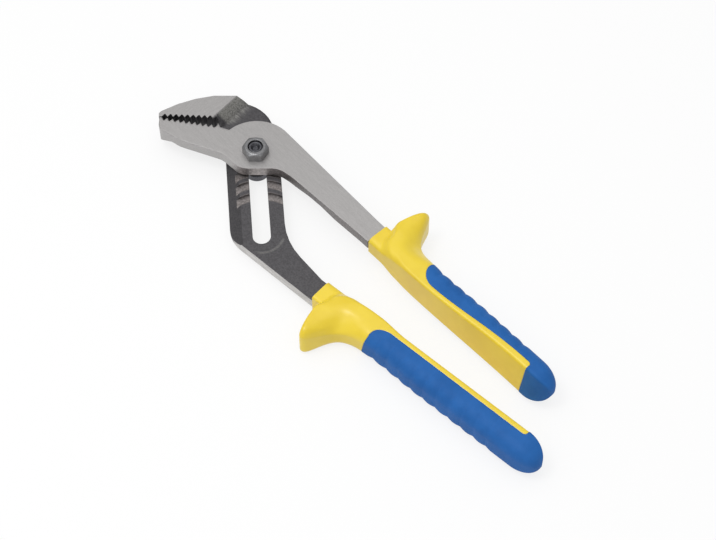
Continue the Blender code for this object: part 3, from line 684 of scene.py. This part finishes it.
def mould(x, y, z, grip):
    """Puts a point of a section in its place: scoops the wing, raises the pad above the collar,
    slants the cover's front end, tilts the inner flank and rounds the end."""
    beyond = min(1.0, max(0.0, y - GRIP_OUTER) / WING_HEIGHT)
    z *= 1 - WING_DIP * math.sin(math.pi * beyond)
    if z * grip.outward > 0:
        rise = wing_rise(x, grip)
        scoop_start = grip.wing_peak - SCOOP_LEAD
        behind = smooth(x, scoop_start, scoop_start + SCOOP_LENGTH)
        z *= 1 - SCOOP * behind * smooth(y, 0.0, GRIP_OUTER + rise) * wing_share(x, grip)
        tip = min(1.0, max(0.0, (y - GRIP_OUTER - rise + TIP_ROUND) / TIP_ROUND))
        z *= 1 - TIP_DROP * tip * tip * rise / WING_HEIGHT
    sweep = min(1.0, max(0.0, (PAD_SWEEP_START - y) / PAD_SWEEP_RUN)) ** PAD_SWEEP_POWER
    ahead = grip.pad_rim - grip.wing_peak + WING_FRONT
    rim = grip.pad_rim + PAD_SWEEP * sweep - ahead * smooth(y, *RIM_BEND)
    low = COLLAR_HALF_HEIGHT / GRIP_HALF_HEIGHT
    foot = rim - PAD_RISE - PAD_SPREAD * sweep
    climb = min(1.0, max(0.0, (x - foot) / (rim - foot)))
    z *= low + (1 - low) * smooth(x, foot, rim)
    crown = CROWN * (1 - smooth(x, rim, rim + CROWN_LENGTH)) * (1 - smooth(y, 0.0, GRIP_OUTER))
    z *= 1 - crown * climb
    side = smooth(y, 0.0, GRIP_OUTER) * smooth(x, *SLANT_IN) * (1 - smooth(x, *SLANT_OUT))
    x += grip.slant * side * grip.outward * z / GRIP_HALF_HEIGHT
    tilt = grip.tilt * smooth(x, TILT_START, TILT_END) * (1 - smooth(y, TILT_INSIDE, TILT_OUTSIDE))
    y += tilt * z / GRIP_HALF_HEIGHT
    end = grip.length - GRIP_END_ROUND
    if x > end:
        shrink = math.sqrt(max(0.0, 1 - ((x - end) / GRIP_END_ROUND) ** 2))
        middle = (GRIP_OUTER - GRIP_INNER) / 2 + GRIP_LEAN
        y = middle + (y - middle) * shrink
        z *= shrink
    return Vector((x, y, z))


def row(x, path, grip):
    """One open row of points: a half section and its mirror image below."""
    full = path + [(y, -z) for y, z in reversed(path[:-1])]
    return [mould(x, y, z, grip) for y, z in full]


def weave(shape, rows):
    """A skin of quads through rows of equally many points."""
    grid = [[shape.verts.new(point) for point in points] for points in rows]
    for near, far in zip(grid, grid[1:]):
        for i in range(len(near) - 1):
            shape.faces.new((near[i], near[i + 1], far[i + 1], far[i]))
    return grid


def right_angle(steps):
    """Evenly spaced angles from zero to a right angle."""
    return [math.radians(90 * i / steps) for i in range(steps + 1)]


def stations(first, last, grip):
    """Distances along a grip, close together where its form changes fast."""
    cap = cap_start(grip)
    start = grip.cover_start
    end = grip.length - GRIP_END_ROUND
    ribs = start + RIB_START
    half_rib = RIB_STEPS // 2
    rib_places = range(-half_rib, RIB_STEPS * rib_count(grip) + half_rib + 1)
    places = [0.0, FIRST_ROW, COLLAR_LENGTH / 2, COLLAR_LENGTH]
    places += [grip.wing_peak - WING_FRONT * math.cos(turn) for turn in right_angle(WING_STEPS)]
    places += [grip.wing_peak + WING_SPACING * i for i in range(1, WING_ROWS)]
    places += [start + COVER_CORNER * (1 - math.cos(turn)) for turn in right_angle(CORNER_STEPS)]
    places += [start - SEAM_REACH, start + SEAM_REACH, cap - SEAM_REACH, cap + SEAM_REACH]
    places += [ribs + RIB_PITCH * i / RIB_STEPS for i in rib_places]
    places += [cap - STRIP_CORNER * (1 - math.sin(turn)) for turn in right_angle(STRIP_STEPS)]
    places += [end + GRIP_END_ROUND * math.sin(turn) for turn in right_angle(END_STEPS)[:-1]]
    kept = [first]
    for place in sorted(places):
        if kept[-1] + LEAST_SPACING < place < last - LEAST_SPACING:
            kept.append(place)
    return kept + [last]


def grip_core(shape, grip):
    """The stiff core: its inner side over the whole length, and the wing in front of the cover."""
    inner = [
        row(x, inner_path(x, grip, 0.0), grip)
        for x in stations(0.0, cap_start(grip), grip)
    ]
    wing = [
        row(x, outer_path(x, grip, 0.0, False), grip)
        for x in stations(0.0, grip.cover_start, grip)
    ]
    for rows in (inner, wing):
        grid = weave(shape, rows)
        shape.faces.new(grid[0])


def grip_cover(shape, grip):
    """The soft cover: the outer side behind the wing, and the whole of the rounded end."""
    tip = grip.length - CAP_OPENING
    side = [
        row(x, outer_path(x, grip, COVER_PROUD, True), grip)
        for x in stations(grip.cover_start, tip, grip)
    ]
    cap = [
        row(x, inner_path(x, grip, COVER_PROUD), grip)
        for x in stations(cap_start(grip), tip, grip)
    ]
    for rows in (side, cap):
        grid = weave(shape, rows)
        shape.faces.new(grid[-1])


def turn_in(shape):
    """Sinks the open rim of a moulded piece a little and turns a lip inwards from it."""
    rim = [edge for edge in shape.edges if edge.is_boundary]
    middle = (GRIP_OUTER - GRIP_INNER) / 2
    for vert in {vert for edge in rim for vert in edge.verts}:
        inward = Vector((0.0, middle - vert.co.y, -vert.co.z)).normalized()
        vert.co += inward * SEAM_SINK
    made = bmesh.ops.extrude_edge_only(shape, edges=rim)["geom"]
    for vert in made:
        if isinstance(vert, bmesh.types.BMVert):
            inward = Vector((0.0, middle - vert.co.y, -vert.co.z)).normalized()
            vert.co += inward * SEAM_DEPTH


def add_piece(name, build, grip, finish):
    """A moulded piece of a grip, set on its handle."""
    shape = bmesh.new()
    build(shape, grip)
    bmesh.ops.remove_doubles(shape, verts=shape.verts, dist=JOIN_REACH)
    turn_in(shape)
    bmesh.ops.recalc_face_normals(shape, faces=shape.faces)
    mesh = bpy.data.meshes.new(name)
    roll = Matrix.Rotation(0 if grip.outward > 0 else math.pi, 4, "X")
    turn = Matrix.Rotation(math.radians(grip.angle), 4, "Z")
    lift = Matrix.Translation((*grip.place, BENCH_DROP + GRIP_LIFT * grip.outward))
    shape.transform(lift @ turn @ roll)
    shape.to_mesh(mesh)
    shape.free()
    mesh.shade_smooth()
    mesh.set_sharp_from_angle(angle=math.radians(SHARP_ANGLE))
    mesh.materials.append(finish)
    piece = bpy.data.objects.new(name, mesh)
    bpy.context.scene.collection.objects.link(piece)
    return piece


def dress_grips():
    pieces = (
        ("core", grip_core, yellow_finish(), "yellow_plastic"),
        ("cover", grip_cover, blue_finish(), "blue_rubber"),
    )
    for grip in (FRONT_GRIP, REAR_GRIP):
        for part, build, finish, slot in pieces:
            piece = add_piece(f"{grip.label}_grip_{part}_moulded", build, grip, finish)
            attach(piece, grip.label + "_arm")
            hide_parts(f"{grip.label}_grip_{part}")


def dress_steel(nodes):
    for name, finish in (
        ("front_arm", front_arm_finish()),
        ("rear_arm", rear_arm_finish()),
        ("pivot_nut", nut_finish()),
        ("pivot_bolt", bolt_finish()),
    ):
        slots = nodes[name].data.materials
        slots.clear()
        slots.append(finish)


def add_floor():
    """A plain pale floor, nearly white to the camera and in reflections, with a soft shadow."""
    mesh = bpy.data.meshes.new("floor")
    signs = ((-1, -1), (1, -1), (1, 1), (-1, 1))
    corners = [(FLOOR_REACH * x, FLOOR_REACH * y, 0) for x, y in signs]
    mesh.from_pydata(corners, [], [(0, 1, 2, 3)])
    floor = bpy.data.objects.new("floor", mesh)
    bpy.context.scene.collection.objects.link(floor)
    material = bpy.data.materials.new("pale_floor")
    material.use_nodes = True
    tree = material.node_tree
    shader = tree.nodes["Principled BSDF"]
    shader.inputs["Base Color"].default_value = FLOOR_COLOUR
    shader.inputs["Roughness"].default_value = FLOOR_ROUGHNESS
    white = tree.nodes.new("ShaderNodeEmission")
    ray = tree.nodes.new("ShaderNodeLightPath")
    seen = ray.outputs["Is Camera Ray"]
    for kind in ("Is Glossy Ray", "Is Transmission Ray"):
        either = tree.nodes.new("ShaderNodeMath")
        either.operation = "MAXIMUM"
        tree.links.new(seen, either.inputs[0])
        tree.links.new(ray.outputs[kind], either.inputs[1])
        seen = either.outputs[0]
    share = tree.nodes.new("ShaderNodeMath")
    share.operation = "MULTIPLY"
    share.inputs[1].default_value = FLOOR_WHITE
    mixed = tree.nodes.new("ShaderNodeMixShader")
    tree.links.new(seen, share.inputs[0])
    tree.links.new(share.outputs[0], mixed.inputs["Fac"])
    tree.links.new(shader.outputs["BSDF"], mixed.inputs[1])
    tree.links.new(white.outputs["Emission"], mixed.inputs[2])
    tree.links.new(mixed.outputs["Shader"], tree.nodes["Material Output"].inputs["Surface"])
    mesh.materials.append(material)


def add_lamp(lamp):
    light = bpy.data.lights.new(lamp.name, "AREA")
    light.shape = "DISK"
    light.size = lamp.size
    light.energy = lamp.power
    item = bpy.data.objects.new(lamp.name, light)
    item.location = lamp.place
    aim = Vector(LAMP_AIM) - Vector(lamp.place)
    item.rotation_euler = aim.to_track_quat("-Z", "Y").to_euler()
    bpy.context.scene.collection.objects.link(item)


def add_light():
    world = bpy.data.worlds.new("studio")
    world.use_nodes = True
    backdrop = world.node_tree.nodes["Background"]
    backdrop.inputs["Color"].default_value = WORLD_COLOUR
    backdrop.inputs["Strength"].default_value = WORLD_STRENGTH
    bpy.context.scene.world = world
    for lamp in LAMPS:
        add_lamp(lamp)


def add_camera():
    turn = math.radians(VIEW_AZIMUTH)
    rise = math.radians(VIEW_ELEVATION)
    target = Vector(VIEW_TARGET)
    reach = math.cos(rise)
    away = Vector((math.sin(turn) * reach, -math.cos(turn) * reach, math.sin(rise)))
    camera = bpy.data.cameras.new("photo_view")
    camera.lens = VIEW_LENS
    camera.sensor_width = VIEW_SENSOR
    camera.sensor_fit = "HORIZONTAL"
    camera.clip_start = VIEW_CLIP
    item = bpy.data.objects.new("photo_view", camera)
    item.location = target + away * VIEW_DISTANCE
    item.rotation_euler = (-away).to_track_quat("-Z", "Y").to_euler()
    bpy.context.scene.collection.objects.link(item)
    bpy.context.scene.camera = item


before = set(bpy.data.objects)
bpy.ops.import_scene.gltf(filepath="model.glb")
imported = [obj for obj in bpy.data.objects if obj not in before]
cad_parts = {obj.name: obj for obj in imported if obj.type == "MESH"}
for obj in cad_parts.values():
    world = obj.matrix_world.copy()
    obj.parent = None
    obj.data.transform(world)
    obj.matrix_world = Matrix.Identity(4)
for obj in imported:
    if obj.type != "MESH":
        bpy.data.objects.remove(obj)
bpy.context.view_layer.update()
dress_steel(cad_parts)
dress_grips()
add_floor()
add_light()
add_camera()
bpy.context.scene.view_settings.view_transform = "Standard"
